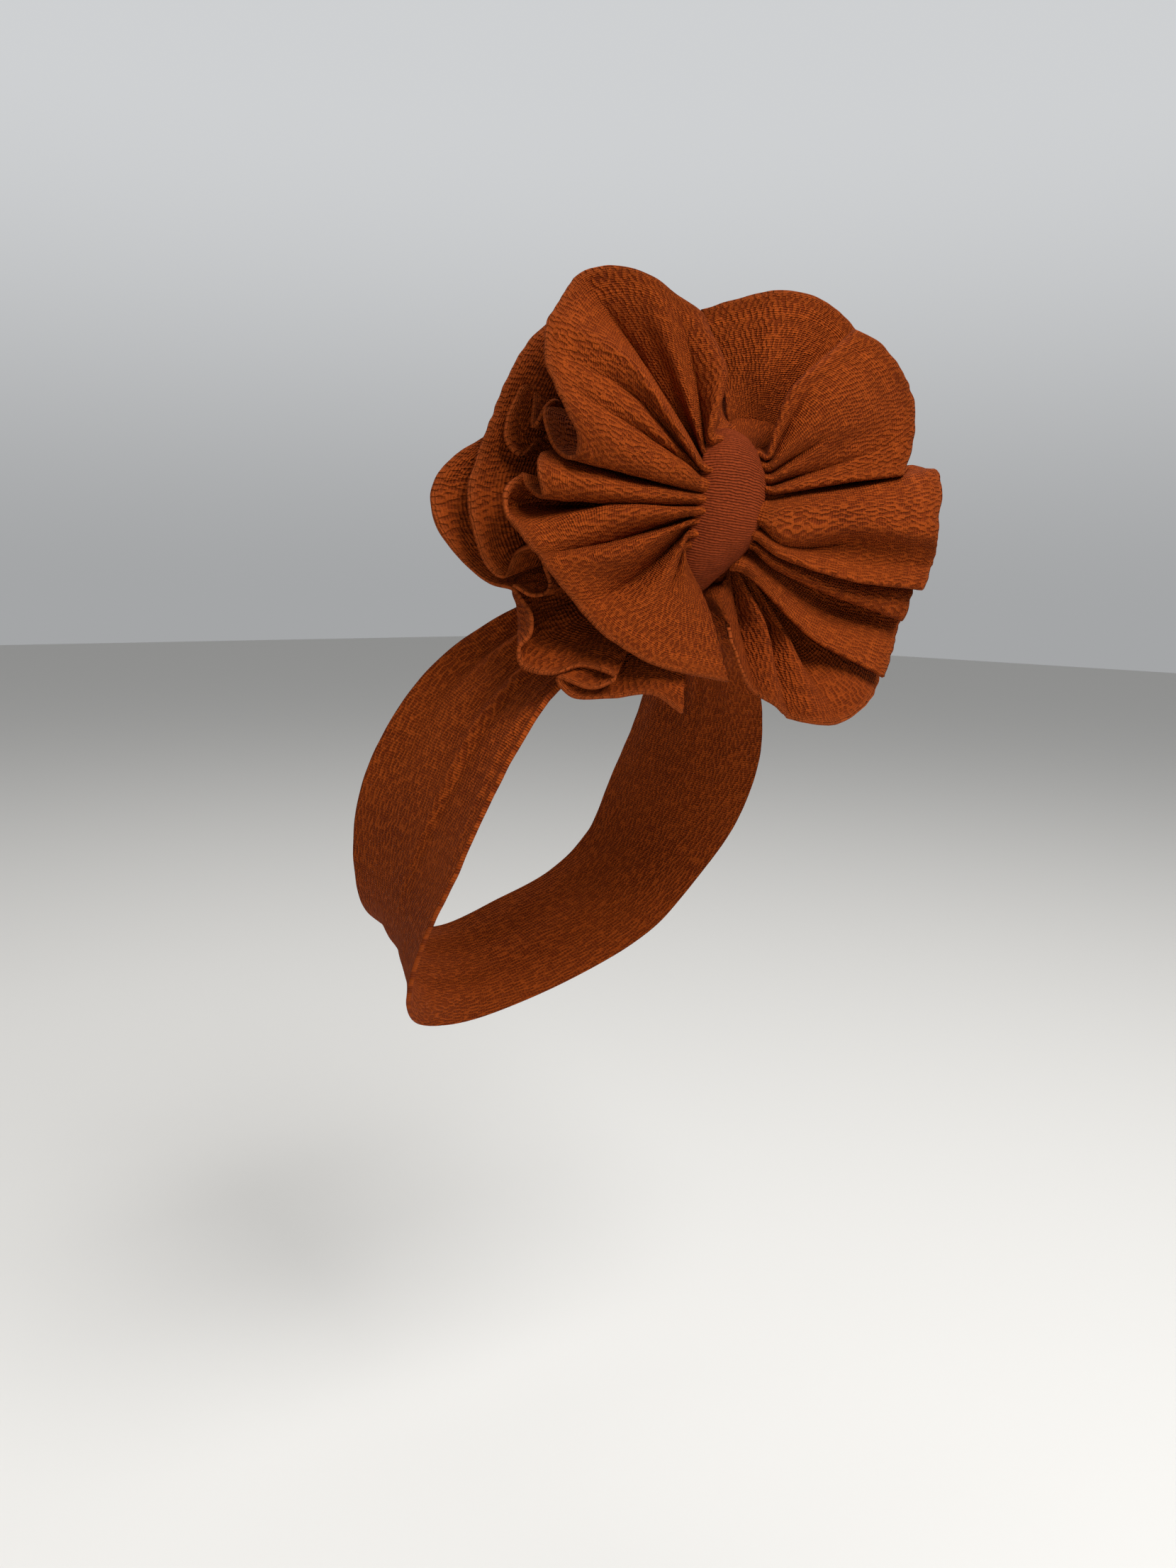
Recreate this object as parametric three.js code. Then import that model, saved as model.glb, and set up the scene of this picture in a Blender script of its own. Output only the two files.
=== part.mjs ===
// Head wrap of stretch knit with a layered bow, in millimetres.
// +Z is up, the wearer faces -Y, and the origin is the middle of the hollow for the head.
import * as THREE from 'three';

// Driving sizes
const bowCloth = 1.5;
const bandCloth = 1.8;
const knotCloth = 2.2;
const knotHalfWidth = 13;
const knotBarrel = 2;
const edgeClearance = 3;
const waistSqueeze = 0.3;
const throatSide = 11;
const shoulderAt = 0.3;
const waistTop = 18;
const waistBottom = -15;
const bandPleats = 3;
// How far to either side of a place on a loop its direction is read, as a share of the loop
const knotReach = 0.01;
const bandReach = 0.004;

// The bow stands on the crown: its middle, its turn to the wearer's right and its lean
const bowMiddle = new THREE.Vector3(2, -50, 122);
const bowTurn = THREE.MathUtils.degToRad(18);
const bowLean = THREE.MathUtils.degToRad(6);

const bowFront = new THREE.Vector3(-Math.sin(bowTurn), -Math.cos(bowTurn), 0);
const levelSide = new THREE.Vector3(Math.cos(bowTurn), -Math.sin(bowTurn), 0);
const bowUp = new THREE.Vector3(0, 0, 1).multiplyScalar(Math.cos(bowLean))
  .addScaledVector(levelSide, Math.sin(bowLean));
const bowSide = new THREE.Vector3().crossVectors(bowUp, bowFront);

// How finely the cloth is faceted
const frontSteps = { across: 48, wing: [3, 3, 1, 1] };
const innerSteps = { across: 36, wing: [2, 2, 1, 1] };
const bandSteps = { around: 56, across: 12 };
const knotSteps = { around: 30, across: 6 };

const rustKnit = new THREE.MeshStandardMaterial({ color: 0x8f4018, roughness: 0.9, metalness: 0 });
const innerKnit = new THREE.MeshStandardMaterial({ color: 0x7e3614, roughness: 0.9, metalness: 0 });
const ribKnit = new THREE.MeshStandardMaterial({ color: 0x7a331c, roughness: 0.85, metalness: 0 });

function rowsOf(columns, values) {
  return values.map((row) => Object.fromEntries(columns.map((name, k) => [name, row[k]])));
}

// A wing's folds from its top edge to its bottom edge, in the bow's own axes.
// root and belly are how far forward the fold lies at the knot and half way out,
// tuck draws it back over the knot just outside it, sway shifts its middle sideways,
// and side, up and lift place its end on the raw edge.
const foldColumns = ['root', 'tuck', 'belly', 'sway', 'side', 'up', 'lift'];

const frontLeft = rowsOf(foldColumns, [
  [1, 8, -10, 5, 1, 59, -20],
  [8, 3, 1, 7, -8, 58, -6],
  [12, 0, 14, 1, -37, 57, 9],
  [6, 0, 5, 0, -45, 59, 7],
  [10, 0, 7, -1, -54, 55, 1],
  [3, 0, -5, 3, -56, 49, -7],
  [13, 0, 12, -2, -63, 31, 11],
  [9, 0, 11, -8, -50, 7, 9],
  [4, 0, -2, -1, -50, 17, -8],
  [11, 0, 9, -3, -61, 8, 6],
  [5, 0, -4, 0, -56, 2, -4],
  [11, 0, 3, 3, -69, -2, 3],
  [9, 0, 8, 0, -72, -9, 9],
  [11, 0, 12, -1, -65, -21, 13],
  [7, 0, 13, 0, -53, -34, 16],
  [10, 0, 14, 1, -33, -45, 18],
  [9, -5, 15, -3, 6, -51, 18],
]);

const frontRight = rowsOf(foldColumns, [
  [0, 8, -12, -3, -4, 62, -22],
  [1, 3, -15, -3, 24, 76, -24],
  [2, 0, -9, 0, 48, 75, -17],
  [4, 0, -2, -5, 54, 66, -7],
  [9, 0, 11, -6, 57, 59, 5],
  [12, 0, 16, -4, 66, 46, 10],
  [10, 0, 13, -2, 72, 35, 8],
  [4, 0, -3, 2, 82, 26, -9],
  [10, 0, 8, 0, 83, 25, 5],
  [11, 0, 14, 0, 85, 12, 12],
  [8, 0, 10, 0, 87, -1, 10],
  [4, 0, 5, 0, 86, -8, 8],
  [9, 0, 11, 0, 83, -13, 9],
  [4, 0, 5, 0, 87, -15, 2],
  [8, 0, 7, 0, 85, -20, 5],
  [3, 0, 1, 0, 88, -25, -1],
  [5, 0, 2, 0, 83, -33, 0],
  [3, 0, 3, 0, 79, -44, 1],
]);

const middleLeft = rowsOf(foldColumns, [
  [-5, 5, -18, 6, -20, 56, -30],
  [-1, 0, -12, -2, -49, 51, -22],
  [-4, 0, -12, -2, -62, 33, -14],
  [-1, 0, -8, -3, -66, 21, -10],
  [-4, 0, -14, -6, -60, 27, -17],
  [-2, 0, -11, -7, -63, 16, -10],
  [-4, 0, -15, -8, -54, 23, -18],
  [-2, 0, -12, -6, -64, 12, -14],
  [-2, 0, -12, -6, -70, 9, -12],
  [-4, 0, -11, -4, -74, -1, -10],
  [-2, 0, -10, -2, -74, -11, -9],
  [-4, 0, -8, -2, -71, -22, -8],
  [-1, 0, -4, -5, -62, -30, -4],
  [-3, 0, 1, -5, -61, -21, 2],
  [-1, 0, 2, -8, -55, -23, 5],
  [-3, 0, 6, -6, -53, -30, 9],
  [-3, 0, 8, 0, -66, -33, 6],
  [-1, 0, 7, 3, -65, -39, 4],
  [-2, 0, 9, 5, -60, -46, 8],
]);

const middleRight = rowsOf(foldColumns, [
  [-5, 8, -20, -6, 6, 56, -34],
  [-1, 0, -20, 2, 52, 60, -32],
  [-5, 0, -14, 0, 66, 46, -22],
  [-2, 0, -9, -2, 72, 34, -18],
  [-5, 0, -13, -2, 80, 22, -22],
  [-2, 0, -9, -2, 78, 9, -15],
  [-5, 0, -12, -2, 82, -4, -18],
  [-2, 0, -7, -3, 80, -18, -11],
  [-5, 0, -8, -3, 84, -36, -10],
  [-2, 0, -2, -4, 80, -49, -3],
  [-3, 0, 1, -4, 65, -61, 2],
  [-5, 0, -2, -2, 48, -62, 6],
  [-2, 0, 3, 0, 31, -57, 9],
  [-2, 0, 6, 2, 17, -47, 10],
  [0, -2, 8, 5, 9, -34, 12],
]);

const backLeft = rowsOf(foldColumns, [
  [-10, 0, -24, -4, -33, 47, -40],
  [-8, 0, -22, -8, -52, 27, -32],
  [-10, 0, -21, -8, -66, 11, -26],
  [-8, 0, -20, -6, -77, 4, -22],
  [-10, 0, -20, -5, -81, -2, -21],
  [-8, 0, -19, -5, -81, -10, -20],
  [-10, 0, -18, -5, -77, -20, -18],
  [-8, 0, -16, -6, -70, -28, -15],
  [-10, 0, -14, -9, -60, -33, -12],
  [-8, 0, -12, -10, -53, -39, -10],
  [-9, 0, -8, -8, -58, -47, -4],
  [-8, 0, -3, -6, -56, -54, 2],
  [-9, 0, 1, -7, -48, -55, 6],
  [-8, 0, 5, -9, -34, -51, 11],
  [-9, 0, 5, -9, -36, -57, 9],
  [-7, 0, 7, -5, -46, -57, 6],
  [-6, 0, 9, -6, -40, -61, 8],
  [-5, 0, 12, -8, -21, -58, 13],
  [-5, -2, 13, -7, -9, -63, 15],
]);

const backRight = rowsOf(foldColumns, [
  [-10, 0, -27, 0, 24, 40, -44],
  [-8, 0, -25, 0, 46, 40, -42],
  [-10, 0, -24, 0, 58, 26, -34],
  [-8, 0, -20, 0, 68, 14, -30],
  [-10, 0, -22, 0, 72, 2, -32],
  [-8, 0, -18, 0, 74, -10, -26],
  [-10, 0, -19, 0, 70, -22, -26],
  [-8, 0, -15, 0, 66, -34, -20],
  [-10, 0, -15, 0, 52, -42, -18],
  [-8, 0, -12, 0, 38, -40, -14],
]);

// The band's two edges from the crown under the bow to the nape, on the wearer's right.
// puff is how far the middle stands out between its edges and pleat is the depth of its gathers.
const bandColumns = ['frontX', 'frontY', 'frontZ', 'rearX', 'rearY', 'rearZ', 'puff', 'pleat'];

const bandStations = rowsOf(bandColumns, [
  [0, -43, 96, 0, -34, 103, 0.3, 1.2],
  [-14, -44, 93, -13, -33, 101, 0.3, 1.4],
  [-31, -46, 81, -27, -14, 94, 2, 2.2],
  [-47, -38, 71, -43, 2, 83, 4, 1.6],
  [-60, -33, 54, -56, 16, 67, 5, 0.9],
  [-68, -27, 34, -63, 30, 44, 6, 0.4],
  [-71, -16, 10, -63, 41, 21, 5, 0],
  [-69, 0, -14, -58, 48, -1, 4, 0],
  [-60, 17, -38, -45, 58, -18, 4, 0.3],
  [-36, 37, -57, -23, 68, -29, 4, 0.6],
  [0, 48, -66, 0, 72, -35, 4, 0.8],
]);

// The knot's strip seen from its end, up and forward of the bow's middle,
// with the shift of its middle sideways and its share of the full width
const knotColumns = ['up', 'lift', 'shift', 'breadth'];

const knotLoop = rowsOf(knotColumns, [
  [0, 15, 1, 1],
  [12, 14, 1.5, 0.97],
  [22, 9, 1, 0.9],
  [26, 1, 0, 0.85],
  [23, -9, 0, 0.85],
  [13, -14, 0, 0.85],
  [-1, -16, 0, 0.8],
  [-11, -22, 0, 0.7],
  [-23, -27, 0, 0.65],
  [-33, -19, -1, 0.7],
  [-34, -4, -2, 0.75],
  [-27, 8, -3, 0.85],
  [-13, 13.5, -1, 0.97],
]);

// A curve through four evenly spaced values, read between the middle two
function blend(before, from, to, after, f) {
  const bend = 2 * before - 5 * from + 4 * to - after;
  const twist = 3 * from - before - 3 * to + after;
  return from + f * (to - before + f * (bend + f * twist)) / 2;
}

// A smooth value along a table's column, with s from 0 at the first row to 1 at the last
function along(rows, column, s) {
  const last = rows.length - 1;
  const place = s * last;
  const k = Math.min(Math.floor(place), last - 1);
  const from = rows[k][column];
  const to = rows[k + 1][column];
  const before = k > 0 ? rows[k - 1][column] : 2 * from - to;
  const after = k + 2 <= last ? rows[k + 2][column] : 2 * to - from;
  return blend(before, from, to, after, place - k);
}

// The same on a loop, where the last row leads back to the first
function around(rows, column, s) {
  const n = rows.length;
  const place = s * n;
  const k = Math.floor(place);
  const at = (j) => rows[((j % n) + n) % n][column];
  return blend(at(k - 1), at(k), at(k + 1), at(k + 2), place - k);
}

function fromBow(side, up, lift) {
  return bowMiddle.clone()
    .addScaledVector(bowSide, side)
    .addScaledVector(bowUp, up)
    .addScaledVector(bowFront, lift);
}

// The points that one line of cloth passes from the waist to the raw edge
function wingLine(wing, s) {
  const { folds, hand, depth, bellyAt } = wing;
  const rootMean = folds.reduce((sum, row) => sum + row.root, 0) / folds.length;
  const root = along(folds, 'root', s);
  const end = {
    side: along(folds, 'side', s),
    up: along(folds, 'up', s),
    lift: along(folds, 'lift', s),
  };
  const gatherUp = THREE.MathUtils.lerp(waistTop, waistBottom, s);
  const pressed = depth + waistSqueeze * (root - rootMean);
  const knotEdge = {
    side: hand * (knotHalfWidth + edgeClearance),
    up: THREE.MathUtils.lerp(wing.edgeTop, wing.edgeBottom, s),
    lift: root,
  };
  const belly = {
    side: THREE.MathUtils.lerp(knotEdge.side, end.side, bellyAt) + along(folds, 'sway', s),
    up: THREE.MathUtils.lerp(knotEdge.up, end.up, bellyAt),
    lift: along(folds, 'belly', s),
  };
  const shoulder = {
    side: THREE.MathUtils.lerp(knotEdge.side, belly.side, shoulderAt) - hand * along(folds, 'tuck', s),
    up: THREE.MathUtils.lerp(knotEdge.up, belly.up, shoulderAt),
    lift: THREE.MathUtils.lerp(knotEdge.lift, belly.lift, shoulderAt),
  };
  return [
    { side: 0, up: gatherUp, lift: pressed },
    { side: hand * throatSide, up: gatherUp, lift: pressed },
    knotEdge,
    shoulder,
    belly,
    end,
  ];
}

// Cloth points across the gather at each step outward, from the waist to the raw edge
function wingColumns(wing, steps) {
  const stations = steps.wing.slice().reverse();
  const places = [];
  stations.forEach((count, k) => {
    for (let i = 1; i <= count; i += 1) places.push(k + 1 + i / count);
  });
  const lines = [];
  for (let a = 0; a <= steps.across; a += 1) lines.push(wingLine(wing, a / steps.across));
  return [1].concat(places).map((place) => lines.map((line) => {
    const s = place / (line.length - 1);
    return fromBow(along(line, 'side', s), along(line, 'up', s), along(line, 'lift', s));
  }));
}

function closedGeometry(points, faces) {
  const geometry = new THREE.BufferGeometry();
  const flat = points.flatMap((p) => [p.x, p.y, p.z]);
  geometry.setAttribute('position', new THREE.Float32BufferAttribute(flat, 3));
  geometry.setIndex(faces.flat());
  geometry.computeVertexNormals();
  return geometry;
}

// A wall of cloth laid half to each side of a grid of points; loop joins the last line to the first
function clothWall(grid, thickness, loop) {
  const rows = grid.length;
  const columns = grid[0].length;
  const line = (i) => (loop ? (i + rows) % rows : Math.min(Math.max(i, 0), rows - 1));
  const points = [];
  for (const face of [1, -1]) {
    for (let i = 0; i < rows; i += 1) {
      for (let j = 0; j < columns; j += 1) {
        const outward = grid[line(i + 1)][j].clone().sub(grid[line(i - 1)][j]);
        const across = grid[i][Math.min(j + 1, columns - 1)].clone().sub(grid[i][Math.max(j - 1, 0)]);
        const normal = outward.cross(across).normalize();
        points.push(grid[i][j].clone().addScaledVector(normal, face * thickness / 2));
      }
    }
  }
  const backStart = rows * columns;
  const faces = [];
  const quad = (a, b, c, d) => faces.push([a, b, c], [a, c, d]);
  const at = (i, j) => line(i) * columns + j;
  const spans = loop ? rows : rows - 1;
  for (let i = 0; i < spans; i += 1) {
    for (let j = 0; j < columns - 1; j += 1) {
      quad(at(i, j), at(i + 1, j), at(i + 1, j + 1), at(i, j + 1));
      const under = [at(i, j), at(i, j + 1), at(i + 1, j + 1), at(i + 1, j)].map((k) => backStart + k);
      quad(...under);
    }
    const far = columns - 1;
    quad(at(i, 0), backStart + at(i, 0), backStart + at(i + 1, 0), at(i + 1, 0));
    quad(at(i, far), at(i + 1, far), backStart + at(i + 1, far), backStart + at(i, far));
  }
  if (!loop) {
    for (let j = 0; j < columns - 1; j += 1) {
      quad(at(0, j), at(0, j + 1), backStart + at(0, j + 1), backStart + at(0, j));
      const end = rows - 1;
      quad(at(end, j), backStart + at(end, j), backStart + at(end, j + 1), at(end, j + 1));
    }
  }
  return closedGeometry(points, faces);
}

// One piece of cloth gathered through the knot, with a wing on each side
function bowLayer(name, left, right, steps, material) {
  const leftColumns = wingColumns(left, steps);
  const rightColumns = wingColumns(right, steps);
  const waist = [];
  for (let a = 0; a <= steps.across; a += 1) {
    const s = a / steps.across;
    const ends = [wingLine(left, s)[0], wingLine(right, s)[0]];
    waist.push(fromBow(0, ends[0].up, (ends[0].lift + ends[1].lift) / 2));
  }
  const grid = leftColumns.reverse().concat([waist], rightColumns);
  const mesh = new THREE.Mesh(clothWall(grid, bowCloth, false), material);
  mesh.name = name;
  return mesh;
}

function knotWrap() {
  const grid = [];
  for (let i = 0; i < knotSteps.around; i += 1) {
    const s = i / knotSteps.around;
    const up = around(knotLoop, 'up', s);
    const lift = around(knotLoop, 'lift', s);
    const alongUp = around(knotLoop, 'up', s + knotReach) - around(knotLoop, 'up', s - knotReach);
    const alongLift = around(knotLoop, 'lift', s + knotReach) - around(knotLoop, 'lift', s - knotReach);
    const length = Math.hypot(alongUp, alongLift);
    const halfWidth = knotHalfWidth * around(knotLoop, 'breadth', s);
    const shift = around(knotLoop, 'shift', s);
    const line = [];
    for (let j = 0; j <= knotSteps.across; j += 1) {
      const share = 2 * j / knotSteps.across - 1;
      const inward = knotBarrel * share * share;
      line.push(fromBow(
        shift + share * halfWidth,
        up + inward * alongLift / length,
        lift - inward * alongUp / length,
      ));
    }
    grid.push(line);
  }
  const mesh = new THREE.Mesh(clothWall(grid, knotCloth, true), ribKnit);
  mesh.name = 'knot_wrap';
  return mesh;
}

// The whole round of stations: the wearer's right, then the mirrored left from the nape back up
function wholeBand() {
  const mirrored = bandStations.slice(1, -1).reverse()
    .map((row) => ({ ...row, frontX: -row.frontX, rearX: -row.rearX }));
  return bandStations.concat(mirrored);
}

function headband() {
  const stations = wholeBand();
  const edge = (end, s) => new THREE.Vector3(
    around(stations, `${end}X`, s),
    around(stations, `${end}Y`, s),
    around(stations, `${end}Z`, s),
  );
  const grid = [];
  for (let i = 0; i < bandSteps.around; i += 1) {
    const s = i / bandSteps.around;
    const front = edge('front', s);
    const rear = edge('rear', s);
    const onward = edge('front', s + bandReach).add(edge('rear', s + bandReach))
      .sub(edge('front', s - bandReach)).sub(edge('rear', s - bandReach));
    const outward = onward.cross(rear.clone().sub(front)).normalize();
    const puff = around(stations, 'puff', s);
    const pleat = around(stations, 'pleat', s);
    const line = [];
    for (let j = 0; j <= bandSteps.across; j += 1) {
      const c = j / bandSteps.across;
      const rise = 4 * puff * c * (1 - c) - pleat * Math.cos(2 * Math.PI * bandPleats * c);
      line.push(front.clone().lerp(rear, c).addScaledVector(outward, rise));
    }
    grid.push(line);
  }
  const mesh = new THREE.Mesh(clothWall(grid, bandCloth, true), rustKnit);
  mesh.name = 'headband';
  return mesh;
}

// The wings as they leave the knot, left and right as seen from in front.
// depth is how far forward a wing lies in the knot, edgeTop and edgeBottom are the ends of its
// gather at the knot's edge, and bellyAt is how far out its belly lies.
const wings = {
  frontLeft: { folds: frontLeft, hand: -1, depth: 5, edgeTop: 27, edgeBottom: -17, bellyAt: 0.5 },
  frontRight: { folds: frontRight, hand: 1, depth: 5, edgeTop: 26, edgeBottom: -15, bellyAt: 0.42 },
  middleLeft: { folds: middleLeft, hand: -1, depth: -1, edgeTop: 22, edgeBottom: -16, bellyAt: 0.52 },
  middleRight: { folds: middleRight, hand: 1, depth: -1, edgeTop: 22, edgeBottom: -18, bellyAt: 0.45 },
  backLeft: { folds: backLeft, hand: -1, depth: -6.5, edgeTop: 20, edgeBottom: -20, bellyAt: 0.55 },
  backRight: { folds: backRight, hand: 1, depth: -6.5, edgeTop: 20, edgeBottom: -20, bellyAt: 0.5 },
};

const headWrap = new THREE.Group();
headWrap.add(headband());
headWrap.add(knotWrap());
headWrap.add(bowLayer('bow_front', wings.frontLeft, wings.frontRight, frontSteps, rustKnit));
headWrap.add(bowLayer('bow_middle', wings.middleLeft, wings.middleRight, innerSteps, innerKnit));
headWrap.add(bowLayer('bow_back', wings.backLeft, wings.backRight, innerSteps, innerKnit));

export default headWrap;
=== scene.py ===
# Head wrap of stretch knit with a layered bow: cloth, materials, light and camera.
# Sizes in the dictionaries are millimetres, apart from flat, the cloth laid out, which is metres.
# Everything is placed as worn: +Z up, the wearer faces -Y.
import math

import bmesh
import bpy
import numpy as np
from mathutils import Matrix, Vector, noise


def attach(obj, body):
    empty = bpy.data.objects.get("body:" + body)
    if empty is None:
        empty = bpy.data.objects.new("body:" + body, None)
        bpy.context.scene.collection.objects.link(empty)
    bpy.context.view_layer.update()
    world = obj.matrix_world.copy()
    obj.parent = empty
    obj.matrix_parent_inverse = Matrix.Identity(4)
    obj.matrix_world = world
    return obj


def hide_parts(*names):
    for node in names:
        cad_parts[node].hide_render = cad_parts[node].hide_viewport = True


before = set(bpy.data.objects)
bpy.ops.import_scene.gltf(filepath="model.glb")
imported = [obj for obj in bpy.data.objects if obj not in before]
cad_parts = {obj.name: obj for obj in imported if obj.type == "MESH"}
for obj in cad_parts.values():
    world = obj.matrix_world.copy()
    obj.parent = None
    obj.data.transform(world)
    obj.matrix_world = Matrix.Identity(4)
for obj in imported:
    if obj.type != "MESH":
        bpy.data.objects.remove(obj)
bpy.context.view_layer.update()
millimetre = 0.001
seam = 0.01  # the ends of a loop are joined where they lie this close, in millimetres
nearlyNothing = 1e-9  # keeps a normal without a length from being divided by nothing

# Camera at the photograph's angle. The bow's folds were drawn as seen from its place.

view = {
    "place": (-290.8, -276.0, 98.2),
    "turn": math.radians(-47),
    "pitch": math.radians(-9.5),
    "roll": math.radians(1.3),
    "lens": 27.05,
    "sensor": 36,
    "nearest": 10,
}


def photoCamera():
    data = bpy.data.cameras.new("camera")
    data.lens = view["lens"]
    data.sensor_width = view["sensor"]
    data.clip_start = view["nearest"] * millimetre
    camera = bpy.data.objects.new("camera", data)
    turn, pitch, roll = view["turn"], view["pitch"], view["roll"]
    ahead = math.cos(pitch)
    forward = Vector((-math.sin(turn) * ahead, math.cos(turn) * ahead, math.sin(pitch)))
    level = Vector((math.cos(turn), math.sin(turn), 0))
    upright = level.cross(forward)
    right = math.cos(roll) * level + math.sin(roll) * upright
    up = math.cos(roll) * upright - math.sin(roll) * level
    turned = Matrix((right, up, -forward)).transposed().to_4x4()
    camera.matrix_world = Matrix.Translation(Vector(view["place"]) * millimetre) @ turned
    bpy.context.scene.collection.objects.link(camera)
    bpy.context.scene.camera = camera


photoCamera()
print("camera placed")


# Curves through the rows of a table

def blend(before, start, end, after, f):
    bend = 2 * before - 5 * start + 4 * end - after
    twist = 3 * start - before - 3 * end + after
    return start + f * (end - before + f * (bend + f * twist)) / 2


def along(rows, s):
    # the value of a column at s, from 0 at the first row to 1 at the last
    rows = np.asarray(rows, float)
    last = len(rows) - 1
    wide = np.concatenate(([2 * rows[0] - rows[1]], rows, [2 * rows[-1] - rows[-2]]))
    place = np.clip(s, 0, 1) * last
    k = np.minimum(place.astype(int), last - 1)
    return blend(wide[k], wide[k + 1], wide[k + 2], wide[k + 3], place - k)


def creased(rows, s, sharp):
    # as along, but each low row between two higher ones is a crease and not a round valley
    rows = np.asarray(rows, float)
    last = len(rows) - 1
    wide = np.concatenate(([2 * rows[0] - rows[1]], rows, [2 * rows[-1] - rows[-2]]))
    fall = rows - wide[:-2]
    rise = wide[2:] - rows
    slope = (fall + rise) / 2
    low = (fall < 0) & (rise > 0)
    leave = np.where(low, sharp * rise, slope)
    arrive = np.where(low, sharp * fall, slope)
    place = np.clip(s, 0, 1) * last
    k = np.minimum(place.astype(int), last - 1)
    f = place - k
    step = rows[k + 1] - rows[k]
    away = leave[k] * f * (1 - f) ** 2
    home = arrive[k + 1] * f * f * (f - 1)
    return rows[k] + step * f * f * (3 - 2 * f) + away + home


def around(rows, s):
    # the same on a loop, where the last row leads back to the first
    rows = np.asarray(rows, float)
    n = len(rows)
    place = np.mod(s, 1) * n
    k = place.astype(int)
    return blend(rows[(k - 1) % n], rows[k % n], rows[(k + 1) % n], rows[(k + 2) % n], place - k)


def columnsOf(names, values):
    return {name: [row[k] for row in values] for k, name in enumerate(names)}


def smooth(low, high, x):
    f = np.clip((x - low) / (high - low), 0, 1)
    return f * f * (3 - 2 * f)


def crumple(u, v, pitch, seed):
    # smooth noise of about -1 to 1, with one pitch along u and one along v
    return np.array([
        noise.noise(Vector((a / pitch[0], b / pitch[1], seed))) for a, b in zip(u, v)
    ])


# The bow's own axes: it stands on the crown, turned to the wearer's right and leaning a little

bow = {
    "middle": (2, -50, 122),
    "turn": math.radians(18),
    "lean": math.radians(6),
    "page": 8,  # the page that the folds were drawn on stands this far before the middle
    "throat": 6,  # half the width that stays gathered inside the knot
    "gatherTop": 18,
    "gatherBottom": -15,
    "squeeze": 0.3,  # share of a fold's depth that is left inside the knot
    "rootShare": 0.7,  # and just under the knot's edge
    "knotUp": (-18, -8, 0, 8, 17, 20, 23, 25),  # heights at which the knot's two edges are given
    "knotLeft": (-11, -9, -7.5, -7.5, -7, -5.5, -4, -3),
    "knotRight": (8, 12, 14.5, 15.5, 13.5, 11, 5, -3),
    "underKnot": 3,
    "beyondKnot": 1.5,
    "shoulderAt": 0.3,  # share of the way from the knot to a fold's middle
    "lateAt": 0.7,  # share of the way from its middle to its end
}
bowFront = np.array([-math.sin(bow["turn"]), -math.cos(bow["turn"]), 0])
levelSide = np.array([math.cos(bow["turn"]), -math.sin(bow["turn"]), 0])
bowUp = math.cos(bow["lean"]) * np.array([0, 0, 1]) + math.sin(bow["lean"]) * levelSide
bowSide = np.cross(bowUp, bowFront)
eyeFromMiddle = np.array(view["place"]) - np.array(bow["middle"])
eye = eyeFromMiddle @ np.stack([bowSide, bowUp, bowFront], axis=1)


def fromBow(side, up, lift):
    return (np.array(bow["middle"]) + np.outer(side, bowSide) + np.outer(up, bowUp)
            + np.outer(lift, bowFront))


def fromPage(side, up, lift):
    # a fold is drawn on a page in front of the bow, then moved along the line of sight to its lift
    share = (lift - eye[2]) / (bow["page"] - eye[2])
    return eye[0] + (side - eye[0]) * share, eye[1] + (up - eye[1]) * share, lift


# Building one piece of cloth

def clothPiece(name, steps, place, cloth, loop=False):
    # place takes two arrays from 0 to 1 and returns points, places on the flat cloth (u and v, in
    # millimetres), and how much of the rim's colour each point has
    mesh = bpy.data.meshes.new(name)
    build = bmesh.new()
    bmesh.ops.create_grid(build, x_segments=steps[0], y_segments=steps[1], size=1)
    build.verts.ensure_lookup_table()
    a = np.array([(v.co.x + 1) / 2 for v in build.verts])
    b = np.array([(v.co.y + 1) / 2 for v in build.verts])
    points, u, v, rim = place(a, b)
    knitMap = build.loops.layers.uv.new("knit")
    rimLayer = build.verts.layers.float.new("rim")
    for vert in build.verts:
        vert[rimLayer] = float(rim[vert.index])
    for face in build.faces:
        for corner in face.loops:
            k = corner.vert.index
            corner[knitMap].uv = (u[k] * millimetre, v[k] * millimetre)
    for vert, point in zip(build.verts, points):
        vert.co = Vector(point) * millimetre
    if loop:
        bmesh.ops.remove_doubles(build, verts=build.verts, dist=seam * millimetre)
    for face in build.faces:
        face.smooth = True
    build.to_mesh(mesh)
    build.free()
    piece = bpy.data.objects.new(name, mesh)
    bpy.context.scene.collection.objects.link(piece)
    wall = piece.modifiers.new("wall", "SOLIDIFY")
    wall.thickness = cloth * millimetre
    wall.offset = 0
    return piece


def withRelief(place, relief, reach=0.002):
    # moves each point of place along the cloth's normal by relief(a, b, u, v), in mm
    def lifted(a, b):
        points, u, v, rim = place(a, b)
        alongA = place(a + reach, b)[0] - place(a - reach, b)[0]
        alongB = place(a, b + reach)[0] - place(a, b - reach)[0]
        normal = np.cross(alongA, alongB)
        normal /= np.maximum(np.linalg.norm(normal, axis=1, keepdims=True), nearlyNothing)
        return points + normal * relief(a, b, u, v)[:, None], u, v, rim
    return lifted


# The bow's three layers. A row is one fold, from a wing's top edge to its bottom edge. edge is its
# height where it leaves the knot and root how far forward it lies there; sag bends it up or down
# before its middle; curl turns its end forward; the rest place its middle and its end on the raw
# edge by side, up and lift. Left and right are as seen from in front.

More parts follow.
